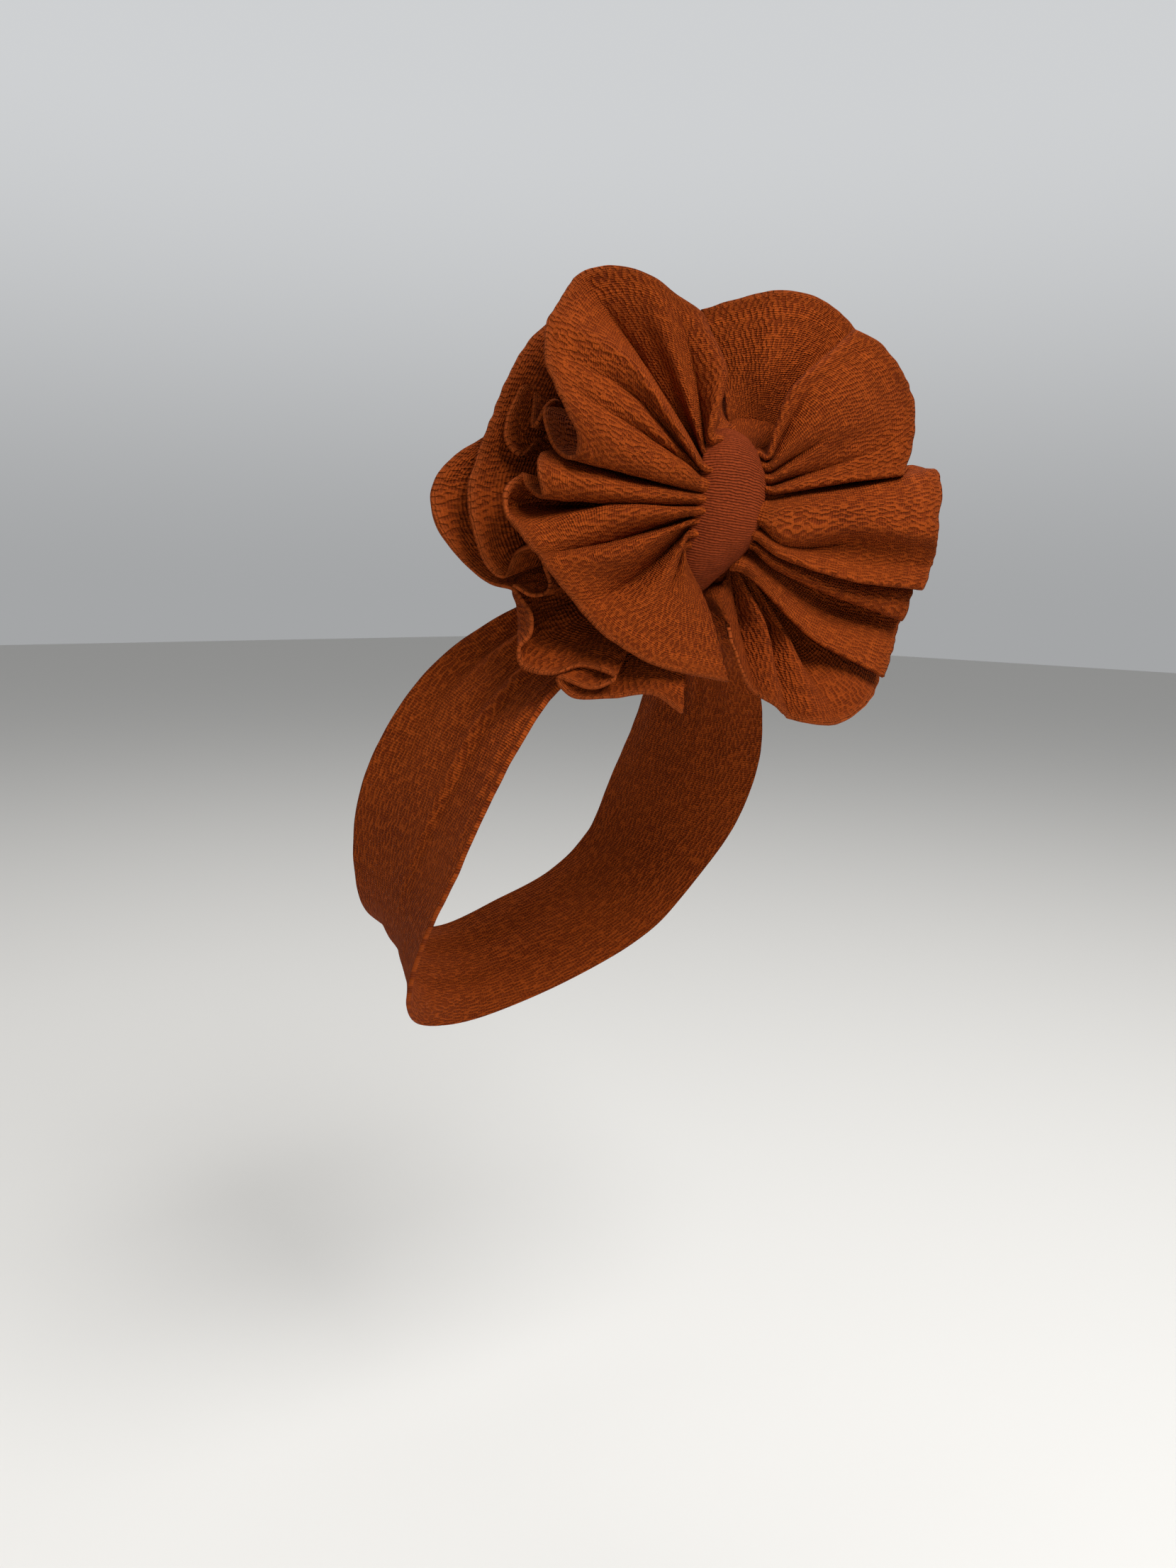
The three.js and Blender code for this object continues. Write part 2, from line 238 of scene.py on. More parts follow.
foldColumns = ["edge", "root", "sag", "midSide", "midUp", "midLift", "curl", "side", "up", "lift"]
foldTables = {
    "frontLeft": columnsOf(foldColumns, [
        (24, -4, 0, -10, 37, -10, 0, -22, 50, -14),
        (21.5, 4, 2, -5, 39, 0, 0, -15, 52, -3),
        (19.5, 11, 2, -7, 39, 6, 0, -18, 54, 0),
        (16.8, 1, 0, -15, 35, 0, 0, -25, 56, 1),
        (14.8, 9, 0, -21, 37, 3, 0, -34, 59, 3),
        (13.6, 3, 0, -27, 38, -1, 0, -45, 59, 2),
        (12.6, 1, 0, -35, 37, -6, 0, -56, 54, 0),
        (11, 14, 0, -36, 35, 10, 0, -62, 44, 5),
        (10.2, 9, 0, -36, 31, 11, 0, -64, 40, 7),
        (9.7, 1, 0, -35, 26, 8, 0, -64, 34, 9),
        (9.2, 9, 0, -33, 21, 12, 0, -63, 29, 11),
        (8.6, 2, 0, -32, 17, 10, 0, -60, 25, 13),
        (7.4, 13, 1, -32, 13, 14, 0, -56, 19, 15),
        (5.2, 14, 0, -33, 8, 14, 0, -51, 12, 14),
        (3.9, 11, 0, -33, 5, 10, 0, -52, 6, 11),
        (3.5, 3, 0, -33, 7, -6, 0, -58, 8, 4),
        (3.4, 1, 0, -31, 10, -12, 0, -62, 17, -3),
        (3.3, 1, 0, -30, 10, -14, 0, -54, 18, -11),
        (3.3, 3, 0, -33, 14, -11, 2, -60, 20, -7),
        (3.3, 1, 0, -35, 11, -16, 3, -65, 12, -8),
        (3.2, 2, 0, -36, 15, -20, 0, -66, 21, -15),
        (3.2, 1, 0, -38, 15, -18, 2, -70, 21, -13),
        (3.2, 3, 0, -39, 9, -16, 3, -73, 9, -10),
        (3.1, 1, 0, -37, 7, -17, 3, -68, 4, -9),
        (3.1, 2, 0, -35, 8, -19, 0, -62, 10, -14),
        (3.1, 3, 0, -33, 5, -8, 0, -56, 7, -7),
        (2.8, 11, 0, -33, 2.5, 8, 0, -62, 5, 3),
        (1.7, 14, 0, -33, -0.5, 13, 0, -62, 0, 8),
        (0.3, 11, 0, -33, -3.5, 8, 0, -60, -6, 6),
        (-0.1, 1, 0, -34, -2, -8, 0, -65, -4, -1),
        (-0.2, 1, 0, -36, -4, -11, 0, -67, -1, -4),
        (-0.4, 2, 0, -38, -5, -9, 4, -71, -6, 1),
        (-0.8, 1, 0, -39, -6, -9, 6, -70, -12, 2),
        (-1.3, 13, 0, -37, -5, 10, 2, -65, -17, 6),
        (-2.6, 13, 0, -37, -9, 13, 0, -62, -20, 9),
        (-3.6, 1, 0, -34, -14, 7, 0, -59, -22, 10),
        (-5.2, 13, 0, -35, -18, 15, 0, -56, -25, 12),
        (-7.2, 1, 0, -27, -24, 3, 0, -44, -35, 13),
        (-8.8, 13, 0, -21, -26, 14, 0, -36, -41, 16),
        (-10.6, 5, 0, -16, -27, 13, 0, -27, -45, 17),
        (-12.5, 11, 0, -10, -29, 15, 0, -14, -49, 18),
        (-15.2, 6, 0, 0, -31, 13, 0, 10, -51, 17),
    ]),
    "frontRight": columnsOf(foldColumns, [
        (25, -13, 0, -6, 38, -24, 0, -16, 54, -28),
        (24, -16, 0, 3, 40, -18, 0, 1, 62, -22),
        (23, -17, 0, 9, 41, -13, 0, 12, 66, -17),
        (22, -17, 0, 15, 43, -12, 0, 25, 67, -15),
        (20.5, -16, 0, 23, 44, -14, 0, 36, 64, -14),
        (19.2, -11, 0, 26, 39, -12, 0, 44, 60, -6),
        (18, 11, 2, 20, 39, 11, 0, 41, 61, 10),
        (16.8, 3, 1, 27, 40, 13, 0, 50, 60, 14),
        (15, 12, 0, 35, 37, 15, 0, 60, 55, 14),
        (13.3, 4, 0, 40, 31, 13, 0, 67, 48, 8),
        (11.6, 12, 0, 41, 26, 9, 0, 70, 41, 5),
        (9.6, 4, 0, 42, 21, 5, 0, 71, 34, 4),
        (8.6, 12, 0, 42, 18, 6, 0, 70, 26, 4),
        (7.6, 11, 0, 43, 15, 5, 0, 69, 22, 5),
        (7, 0, 0, 45, 18, -11, 0, 72, 25, -11),
        (6.3, 8, 0, 46, 15, -5, 0, 78, 25, -5),
        (5.4, 8, 0, 47, 13, 4, 0, 84, 25, 4),
        (3.6, 13, 0, 49, 10, 11, 0, 87, 18, 9),
        (1, 14, 0, 50, 7, 13, 0, 87, 12, 11),
        (-2, 13, -4, 51, 2, 12, 0, 88, 5, 12),
        (-3.2, 1, -5, 53, -2, 5, 0, 88, 0, 8),
        (-5, 12, -2, 53, -8, 5, 0, 87, -5, 5),
        (-6.6, 12, -2, 53, -14, 10, 0, 85, -13, 9),
        (-7.2, 2, -2, 53, -12, -5, 0, 81, -12, -3),
        (-8.6, 10, -2, 51, -17, 4, 0, 80, -17, 3),
        (-9.6, 8, -2, 48, -20, 3, 0, 78, -24, 2),
        (-10.2, 1, -2, 48, -18, -9, 0, 77, -24, -6),
        (-12, 4, 0, 45, -23, -7, 0, 76, -28, -4),
        (-14.5, 9, 0, 42, -28, 1, 0, 75, -35, 1),
        (-17.5, 8, 1, 40, -34, 7, 0, 73, -44, 6),
    ]),
    "middleLeft": columnsOf(foldColumns, [
        (22, -6, 0, -28, 40, -20, 0, -56, 46, -23),
        (20, -2, 0, -34, 32, -15, 0, -67, 36, -17),
        (17, -5, 0, -38, 24, -18, 0, -73, 25, -14),
        (14, -3, 0, -40, 17, -17, 0, -76, 16, -15),
        (11, -5, 0, -43, 10, -18, 0, -78, 9, -13),
        (8, -3, 0, -44, 4, -16, 0, -80, 2, -14),
        (5, -5, 0, -45, -1, -17, 0, -82, -7, -11),
        (2, -3, 0, -44, -6, -14, 0, -80, -16, -11),
        (-1, -5, 0, -42, -11, -13, 0, -75, -26, -8),
        (-3, -3, 0, -40, -15, -10, 0, -69, -29, -6),
        (-5, -5, 0, -38, -16, -8, 0, -66, -22, -5),
        (-7, -3, 0, -36, -17, -4, 3, -60, -20, -1),
        (-9, -5, 0, -34, -20, -3, 3, -56, -26, 2),
        (-11, -3, 0, -33, -23, -2, 0, -55, -31, 2),
        (-13.5, -5, 0, -34, -25, -5, 0, -60, -33, 0),
        (-16, -3, 0, -36, -26, -4, 0, -66, -31, -3),
    ]),
    "middleRight": columnsOf(foldColumns, [
        (22, -5, 0, 8, 34, -20, 0, 6, 54, -34),
        (19, -1, 0, 32, 38, -20, 0, 50, 58, -32),
        (16.5, -5, 0, 37, 30, -14, 0, 64, 45, -22),
        (13.5, -2, 0, 39, 23, -10, 0, 70, 34, -18),
        (10.5, -5, 0, 42, 16, -13, 0, 78, 22, -22),
        (7.5, -2, 0, 42, 8, -9, 0, 77, 9, -15),
        (5, -5, 0, 44, 1, -12, 0, 80, -4, -18),
        (2, -2, 0, 43, -7, -9, 0, 79, -16, -12),
        (-1, -5, 0, 45, -15, -9, 0, 82, -30, -10),
        (-4, -2, 0, 45, -24, -6, 0, 79, -44, -1),
        (-7, -4, 0, 43, -32, -6, 0, 66, -54, 9),
        (-9.5, -2, 0, 40, -34, -8, 0, 52, -60, 14),
        (-11.5, 0, 0, 34, -34, 2, 0, 40, -61, 17),
        (-13, -3, 0, 29, -33, -8, 0, 31, -60, 14),
        (-14.5, 1, 0, 23, -33, 6, 0, 22, -57, 19),
        (-15.5, -3, 0, 18, -33, -2, 0, 15, -53, 15),
        (-16.5, 0, 0, 12, -32, 4, 0, 8, -47, 17),
        (-18, 0, 0, 6, -29, 7, 0, 5, -39, 14),
        (-20, 0, 0, 3, -26, 6, 0, 4, -32, 10),
        (-20, -6, 0, 1, -24, -9, 0, 0, -28, -8),
        (-19, -7, 0, -5, -24, -14, 0, -10, -30, -16),
    ]),
    "backLeft": columnsOf(foldColumns, [
        (20, -10, 0, -24, 34, -24, 0, -38, 44, -40),
        (17.5, -8, 0, -36, 22, -22, 0, -60, 24, -32),
        (15, -10, 0, -42, 14, -22, 0, -73, 11, -25),
        (13, -8, 0, -44, 8, -21, 0, -81, 5, -22),
        (11, -10, 0, -46, 3, -21, 0, -88, -1, -20),
        (9, -8, 0, -47, -3, -20, 0, -92, -9, -20),
        (7, -10, 0, -46, -8, -19, 0, -90, -18, -19),
        (5, -8, 0, -44, -13, -18, 0, -82, -26, -17),
        (3, -10, 0, -42, -17, -16, 0, -73, -31, -13),
        (1, -8, 0, -42, -20, -13, 4, -66, -32, -6),
        (-0.5, -10, 0, -43, -23, -12, 8, -62, -35, -2),
        (-2, -8, 0, -42, -26, -10, 9, -59, -39, 2),
        (-3.5, -10, 0, -41, -29, -9, 8, -59, -44, 3),
        (-5, -8, 0, -39, -31, -6, 5, -62, -48, 2),
        (-6.5, -10, 0, -37, -33, -4, 3, -60, -53, 3),
        (-8, -8, 0, -33, -34, -2, 0, -51, -54, 7),
        (-9.5, -10, 0, -29, -34, 0, 0, -42, -51, 9),
        (-11, -8, 0, -25, -35, 2, 0, -33, -52, 13),
        (-12.5, -10, 0, -24, -37, 2, 0, -31, -54, 14),
        (-13.5, -8, 0, -26, -38, 1, 0, -38, -57, 11),
        (-14.5, -10, 0, -28, -38, 0, 0, -49, -55, 7),
        (-16, -8, 0, -27, -40, 1, 0, -43, -60, 8),
        (-17.5, -10, 0, -21, -40, 4, 0, -30, -59, 12),
        (-19, -8, 0, -14, -39, 8, 0, -17, -57, 16),
        (-20.5, -6, 0, -8, -37, 10, 0, -5, -62, 19),
    ]),
    "backRight": columnsOf(foldColumns, [
        (20, -10, 0, 18, 30, -27, 0, 24, 40, -44),
        (15.5, -8, 0, 29, 28, -25, 0, 46, 40, -42),
        (11, -10, 0, 35, 18, -24, 0, 58, 26, -34),
        (6.5, -8, 0, 40, 10, -20, 0, 68, 14, -30),
        (2, -10, 0, 42, 2, -22, 0, 72, 2, -32),
        (-2, -8, 0, 43, -6, -18, 0, 74, -10, -26),
        (-6.5, -10, 0, 41, -14, -19, 0, 70, -22, -26),
        (-11, -8, 0, 39, -22, -15, 0, 66, -34, -20),
        (-15.5, -10, 0, 32, -29, -15, 0, 52, -42, -18),
        (-20, -8, 0, 25, -30, -12, 0, 38, -40, -14),
    ]),
}

# How a wing opens from the knot. Shares run from 0 at the bow's middle to 1 at the raw edge.
# spacing gives the share at each of the eight stations that the wing's lines pass. A pair named
# From or To gives the two shares between which something comes in or fades out.

spread = {
    "spacing": (0, 0.05, 0.09, 0.13, 0.31, 0.58, 0.86, 1),
    "creaseAtKnot": 1.9,
    "creaseAtMiddle": 1.5,
    "creaseAtRim": 1.15,
    "measuredAt": 5.6,  # the station where the cloth is measured across its folds
    "measures": 500,
    "gathersFrom": (0.1, 0.16),
    "gathersTo": (0.25, 0.6),
    "gatherPitch": (60, 15),
    "gatherWrinkle": 0.7,
    "puckersFrom": (0.2, 0.5),
    "puckerPitch": (7, 4.5),
    "puckerSeed": 7,
    "pucker": 0.2,
    "wavesFrom": (0.93, 1),
    "wavePitch": (3.5, 30),
    "waveSeed": 5,
    "wave": 0.5,
    "waveForward": 0.6,
    "rimFrom": (0.955, 0.995),
}


def wingLines(wing, s):
    # the points that the lines of cloth at s pass, from the waist to the raw edge
    folds = foldTables[wing["folds"]]
    hand = wing["hand"]
    depth = wing["depth"]
    root = creased(folds["root"], s, spread["creaseAtKnot"])
    middle = (along(folds["midSide"], s), along(folds["midUp"], s),
              creased(folds["midLift"], s, spread["creaseAtMiddle"]))
    end = (along(folds["side"], s), along(folds["up"], s),
           creased(folds["lift"], s, spread["creaseAtRim"]))
    edgeUp = along(folds["edge"], s)
    edgeSide = np.interp(edgeUp, bow["knotUp"], bow["knotLeft"] if hand < 0 else bow["knotRight"])
    leave = edgeSide + hand * bow["beyondKnot"]
    near = bow["shoulderAt"]
    late = bow["lateAt"]
    curl = along(folds["curl"], s)
    drawn = [
        (edgeSide - hand * bow["underKnot"], edgeUp, depth + bow["rootShare"] * (root - depth)),
        (leave, edgeUp, root),
        (leave + (middle[0] - leave) * near,
         edgeUp + (middle[1] - edgeUp) * near + along(folds["sag"], s),
         root + (middle[2] - root) * near),
        middle,
        (middle[0] + (end[0] - middle[0]) * late + hand * curl,
         middle[1] + (end[1] - middle[1]) * late,
         middle[2] + (end[2] - middle[2]) * late - curl),
        end,
    ]
    if wing["drawn"]:
        drawn = [fromPage(*point) for point in drawn]
    gatherUp = bow["gatherTop"] + (bow["gatherBottom"] - bow["gatherTop"]) * s
    pressed = depth + bow["squeeze"] * (root - np.mean(folds["root"]))
    waist = [
        (np.zeros(len(s)), gatherUp, pressed),
        (np.full(len(s), hand * bow["throat"]), gatherUp, pressed),
    ]
    return np.array(waist + drawn)


def onLines(lines, place):
    # the point at a place from 0 to the last station along each line
    first = 2 * lines[0] - lines[1]
    last = 2 * lines[-1] - lines[-2]
    wide = np.concatenate(([first], lines, [last]))
    k = np.clip(place.astype(int), 0, len(lines) - 2)
    each = np.arange(lines.shape[2])
    four = [wide[k + j, :, each].T for j in range(4)]
    return blend(*four, place - k)


def clothAcross(wing, s):
    # the length of cloth from the top edge, measured on the wing's outer part
    fine = np.linspace(0, 1, spread["measures"])
    points = onLines(wingLines(wing, fine), np.full(len(fine), spread["measuredAt"]))
    lengths = np.linalg.norm(np.diff(points, axis=1), axis=0)
    return np.interp(s, fine, np.concatenate(([0], np.cumsum(lengths))))


# The layers. folds names a wing's table, hand its side, depth how far forward it passes the knot,
# and drawn wings were drawn on the page. reach is the flat cloth from the middle to a raw edge.

bowLayers = {
    "bow_front": {
        "left": {"folds": "frontLeft", "hand": -1, "drawn": True, "depth": 3},
        "right": {"folds": "frontRight", "hand": 1, "drawn": True, "depth": 3},
        "reach": 85,
        "seed": 3,
        "steps": (118, 340),
        "cloth": 1.1,
        "slot": "rust_knit",
        "flat": (0.21, 0.225),
    },
    "bow_middle": {
        "left": {"folds": "middleLeft", "hand": -1, "drawn": True, "depth": -4},
        "right": {"folds": "middleRight", "hand": 1, "drawn": False, "depth": -4},
        "reach": 80,
        "seed": 17,
        "steps": (110, 300),
        "cloth": 1.1,
        "slot": "inner_knit",
        "flat": (0.155, 0.15),
    },
    "bow_back": {
        "left": {"folds": "backLeft", "hand": -1, "drawn": True, "depth": -9},
        "right": {"folds": "backRight", "hand": 1, "drawn": False, "depth": -9},
        "reach": 75,
        "seed": 29,
        "steps": (110, 300),
        "cloth": 1.1,
        "slot": "inner_knit",
        "flat": (0.15, 0.13),
    },
}


def bowLayer(name):
    # one piece of cloth gathered through the knot: a is 0 and 1 at the two raw edges, b runs down
    layer = bowLayers[name]
    left = layer["left"]
    right = layer["right"]

    def place(a, b):
        outward = np.abs(2 * a - 1)
        hand = np.sign(a - 0.5)
        station = np.interp(outward, spread["spacing"], range(len(spread["spacing"])))
        lines = [wingLines(wing, b) for wing in (left, right)]
        waist = (lines[0][0] + lines[1][0]) / 2
        local = []
        for line in lines:
            line[0] = waist
            local.append(onLines(line, station))
        side, up, lift = np.where(a < 0.5, local[0], local[1])
        u = hand * outward * layer["reach"]
        v = np.where(a < 0.5, clothAcross(left, b), clothAcross(right, b))
        wavy = smooth(*spread["wavesFrom"], outward)
        wave = spread["wave"] * wavy * crumple(v, u, spread["wavePitch"], spread["waveSeed"])
        points = fromBow(side + hand * wave, up, lift + spread["waveForward"] * wave)
        return points, u, v, smooth(*spread["rimFrom"], outward)

    def relief(a, b, u, v):
        outward = np.abs(2 * a - 1)
        gathered = smooth(*spread["gathersFrom"], outward) * (1 - smooth(*spread["gathersTo"], outward))
        pleats = crumple(u, v, spread["gatherPitch"], layer["seed"]) * spread["gatherWrinkle"]
        puckerSeed = layer["seed"] + spread["puckerSeed"]
        pucker = crumple(u, v, spread["puckerPitch"], puckerSeed) * spread["pucker"]
        return gathered * pleats + smooth(*spread["puckersFrom"], outward) * pucker

    shaped = withRelief(place, relief)
    piece = clothPiece(name + "_cloth", layer["steps"], shaped, layer["cloth"])
    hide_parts(name)
    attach(piece, "root")
    print("built", name)
    return piece


# The strip wound round the bow's middle and the top of the band. A row is a place on its loop, up
# and forward of the bow's middle, with its shift sideways, its share of the full width, and how
# far its right edge slants up.

knot = {
    "loop": columnsOf(["up", "lift", "shift", "breadth", "slant"], [
        (1, 15.5, 0.2, 1, 0),
        (10, 14.5, 0.8, 1, 0),
        (18, 11, 2.2, 0.9, -1),
        (23, 5, 4, 0.76, -2),
        (22, -4, 3, 0.7, 0),
        (15, -11, 1, 0.8, 0),
        (4, -16, 0, 0.9, 0),
        (-10, -22, 0, 0.85, 0),
        (-23, -28, 0, 0.8, 0),
        (-32, -21, 0, 0.75, 2),
        (-32, -9, -1, 0.7, 4),
        (-26, 0, -1.5, 0.75, 5),
        (-20, 7.5, -1.5, 0.92, 4),
        (-14, 11.5, -1, 1, 2),
        (-7, 14.3, -0.3, 1, 0.5),
    ]),
    "loopLength": 150,
    "halfWidth": 11.6,
    "barrel": 4.4,  # how far its edges turn in towards the bow
    "barrelPower": 2.3,
    "ripple": 0.35,
    "ripplePitch": (9, 6),
    "rippleTurn": (30, 20),  # carries the ripple round the loop without a seam
    "seed": 41,
    "reach": 0.01,
    "steps": (170, 44),
    "cloth": 1.6,
    "slot": "rib_knit",
    "flat": (0.024, 0.15),
}


def knotStrip():
    loop = knot["loop"]

    def place(a, b):
        ahead = a + knot["reach"]
        behind = a - knot["reach"]
        up = around(loop["up"], a)
        lift = around(loop["lift"], a)
        alongUp = around(loop["up"], ahead) - around(loop["up"], behind)
        alongLift = around(loop["lift"], ahead) - around(loop["lift"], behind)
        length = np.hypot(alongUp, alongLift)
        share = 2 * b - 1
        half = knot["halfWidth"] * around(loop["breadth"], a)
        inward = knot["barrel"] * np.abs(share) ** knot["barrelPower"]
        side = around(loop["shift"], a) + share * half
        tilted = up + around(loop["slant"], a) * share
        points = fromBow(side, tilted + inward * alongLift / length, lift - inward * alongUp / length)
        return points, a * knot["loopLength"], share * half, np.zeros(len(a))

    def relief(a, b, u, v):
        turned = np.cos(2 * np.pi * a)
        across, down = knot["rippleTurn"]
        return knot["ripple"] * crumple(
            across * turned, v + down * turned, knot["ripplePitch"], knot["seed"])

    shaped = withRelief(place, relief)
    piece = clothPiece("knot_wrap_cloth", knot["steps"], shaped, knot["cloth"], loop=True)
    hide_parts("knot_wrap")
    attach(piece, "root")
    print("built knot_wrap")
    return piece


# The band. A row of edges gives its front and rear edge, from the crown under the bow to the nape,
# on the wearer's right; the left side mirrors them. puff is how far its middle stands out, and
# pleat the depth of its gathers. A crease runs from (a, b) to (a, b) with a depth: a goes round
# from the crown to the nape at 0.5 and on to the crown, b from the front edge to the rear one.
# creaseFrom and creaseTo are the shares of its way between which it comes in and fades out.

band = {
    "edges": columnsOf(["frontX", "frontY", "frontZ", "rearX", "rearY", "rearZ", "puff", "pleat"], [
        (0, -43, 96, 0, -34, 103, 0.3, 1.2),
        (-14, -44, 93, -13, -33, 101, 0.3, 1.4),
        (-31, -46, 81, -27, -14, 94, 2, 2.2),
        (-47, -38, 71, -43, 2, 83, 4, 1.6),
        (-60, -33, 54, -56, 16, 67, 5, 0.9),
        (-68, -27, 34, -63, 30, 44, 6, 0.4),
        (-71, -16, 10, -63, 41, 21, 5, 0),
        (-69, 0, -14, -58, 48, -1, 4, 0),
        (-60, 17, -38, -45, 58, -18, 4, 0.3),
        (-36, 37, -57, -23, 68, -29, 4, 0.6),
        (0, 48, -66, 0, 72, -35, 4, 0.8),
    ]),
    "mirrored": ("frontX", "rearX"),
    "creases": [
        (0.07, 0.34, 0.34, 0.46, 2.1),
        (0.07, 0.2, 0.3, 0.06, 1.6),
        (0.04, 0.64, 0.22, 0.74, 1.5),
        (0.94, 0.4, 0.72, 0.46, 1.9),
        (0.95, 0.66, 0.77, 0.58, 1.5),
        (0.45, 0.45, 0.55, 0.5, 0.7),
    ],
    "creaseFrom": (-0.15, 0.1),
    "creaseTo": (0.45, 1.15),
    "creaseWidth": 2.0,
    "creaseReach": 7,  # in widths of the crease: the cloth rises on one side and falls on the other
    "creaseGroove": 0.6,
    "pleats": 3,
    "loopLength": 500,
    "breadth": 62,
    "ripple": 0.35,
    "ripplePitch": (30, 9),
    "rippleTurn": (120, 90),
    "seed": 61,
    "reach": 0.004,
    "steps": (380, 96),
    "cloth": 1.5,
    "slot": "rust_knit",
    "flat": (0.055, 0.44),
}


def headband():
    whole = {}
    for name, values in band["edges"].items():
        sign = -1 if name in band["mirrored"] else 1
        whole[name] = values + [sign * value for value in values[-2:0:-1]]

    def edge(end, s):
        return np.stack([around(whole[end + axis], s) for axis in "XYZ"], axis=1)

    def place(a, b):
        ahead = a + band["reach"]
        behind = a - band["reach"]
        front = edge("front", a)
        rear = edge("rear", a)
        onward = (edge("front", ahead) + edge("rear", ahead)
                  - edge("front", behind) - edge("rear", behind))
        outward = np.cross(onward, rear - front)
        outward /= np.linalg.norm(outward, axis=1, keepdims=True)
        rise = (4 * around(whole["puff"], a) * b * (1 - b)
                - around(whole["pleat"], a) * np.cos(2 * np.pi * band["pleats"] * b))
        points = front + (rear - front) * b[:, None] + outward * rise[:, None]
        return points, a * band["loopLength"], b * band["breadth"], np.zeros(len(a))

    def relief(a, b, u, v):
        turn = 2 * np.pi * a
        across, down = band["rippleTurn"]
        height = band["ripple"] * crumple(
            across * np.sin(turn), v + down * np.cos(turn), band["ripplePitch"], band["seed"])
        for startA, startB, endA, endB, depth in band["creases"]:
            share = (a - startA) / (endA - startA)
            off = (b - startB - (endB - startB) * share) * band["breadth"] / band["creaseWidth"]
            fade = smooth(*band["creaseFrom"], share) * (1 - smooth(*band["creaseTo"], share))
            step = np.tanh(off) * np.exp(-np.abs(off) / band["creaseReach"])
            height -= depth * fade * (step + band["creaseGroove"] * np.exp(-off ** 2))
        return height

    shaped = withRelief(place, relief)
    piece = clothPiece("headband_cloth", band["steps"], shaped, band["cloth"], loop=True)
    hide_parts("headband")
    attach(piece, "root")
    print("built headband")
    return piece


# Materials

def linear(hexColour):
    channels = [int(hexColour[k:k + 2], 16) / 255 for k in (1, 3, 5)]
    return [c / 12.92 if c <= 0.04045 else ((c + 0.055) / 1.055) ** 2.4 for c in channels] + [1]


def addNode(tree, kind, settings=None, **links):
    # settings set the node's own properties. links set its sockets, named or numbered as i0, i1 and
    # so on, to a value, or feed them from another socket or from a node's first output.
    node = tree.nodes.new(kind)
    for key, value in (settings or {}).items():
        setattr(node, key, value)
    for key, value in links.items():
        if isinstance(value, bpy.types.Node):
            value = value.outputs[0]
        socket = node.inputs[int(key[1:]) if key[1:].isdigit() else key.replace("_", " ")]
        if isinstance(value, bpy.types.NodeSocket):
            tree.links.new(value, socket)
        else:
            socket.default_value = value
    return node


# Bullet-stitch stretch knit, polyester with elastane, raw cut edges: matt with a soft bloom of
# fibre, ribs along v and raised strokes along u. The ribs are about 0.55 mm apart on the real cloth
# and drawn coarser, so that they show. rib, strokeLong, strokeWide and strokeGap are millimetres.
# shade and deep colour the knit's grooves as painted shade, below the yarn's own colour
knits = {
    "rust_knit": {
        "yarn": "#933F10", "shade": "#712B09", "deep": "#431304", "rimTint": "#8A3F18", "rib": 0.9,
        "ribDepth": 0.34, "strokeLong": 3.4, "strokeWide": 1.2, "strokeGap": 1.6, "strokeDepth": 0.78,
    },
    # the same knit as rust_knit in darker colours: painted shade for the inner layers, which lie behind
    # the front one
    "inner_knit": {
        "yarn": "#8B3A0E", "shade": "#692808", "deep": "#3C1003", "rimTint": "#8A3F18", "rib": 0.9,
        "ribDepth": 0.36, "strokeLong": 3.4, "strokeWide": 1.2, "strokeGap": 1.6, "strokeDepth": 0.7,
    },
    "rib_knit": {
        "yarn": "#903C18", "shade": "#732D12", "deep": "#431407", "rimTint": "#8A3F20", "rib": 0.95,
        "ribDepth": 0.6, "strokeLong": 2.4, "strokeWide": 0.9, "strokeGap": 1.4, "strokeDepth": 0.14,
    },
}

# What the knits share. A noise's Scale is its waves in a metre, and for the strokes in a stroke.
grain = {
    "strokes": {"Scale": 1.0, "Detail": 1.5, "Roughness": 0.45, "Distortion": 0.3},
    "sway": {"Scale": 110.0, "Detail": 1.0, "Roughness": 0.5},  # 9 mm
    "wobble": {"Scale": 350.0, "Detail": 1.0, "Roughness": 0.5},  # 3 mm
    "stitches": {"Scale": 1400.0, "Detail": 1.0, "Roughness": 0.5},  # 0.7 mm
    "patches": {"Scale": 35.0, "Detail": 3.0, "Roughness": 0.55},  # 29 mm
    "rowSway": 4.5,
    "lineSway": -5.0,
    "ribSway": 5.0,
    "stagger": 0.22,
    "strokeFrom": 0.3,
    "strokeTo": 0.66,
    "stitchDepth": 0.25,
    "bump": 1.0,
    "darkest": -0.09,
    "patchTone": 0.4,
    # how strongly the relief's height sets the colour: painted shade in the grooves, painted highlight
    # on the raised yarn
    "reliefShadeAndHighlight": 0.66,
    "shadeAt": 0.28,
    "yarnAt": 0.7,
    "rimShare": 0.6,
    "roughness": 0.88,
    "ior": 1.5,
    "specular": 0.06,
    "sheen": 0.12,
    "sheenRoughness": 0.5,
    "sheenTint": "#C85212",
}


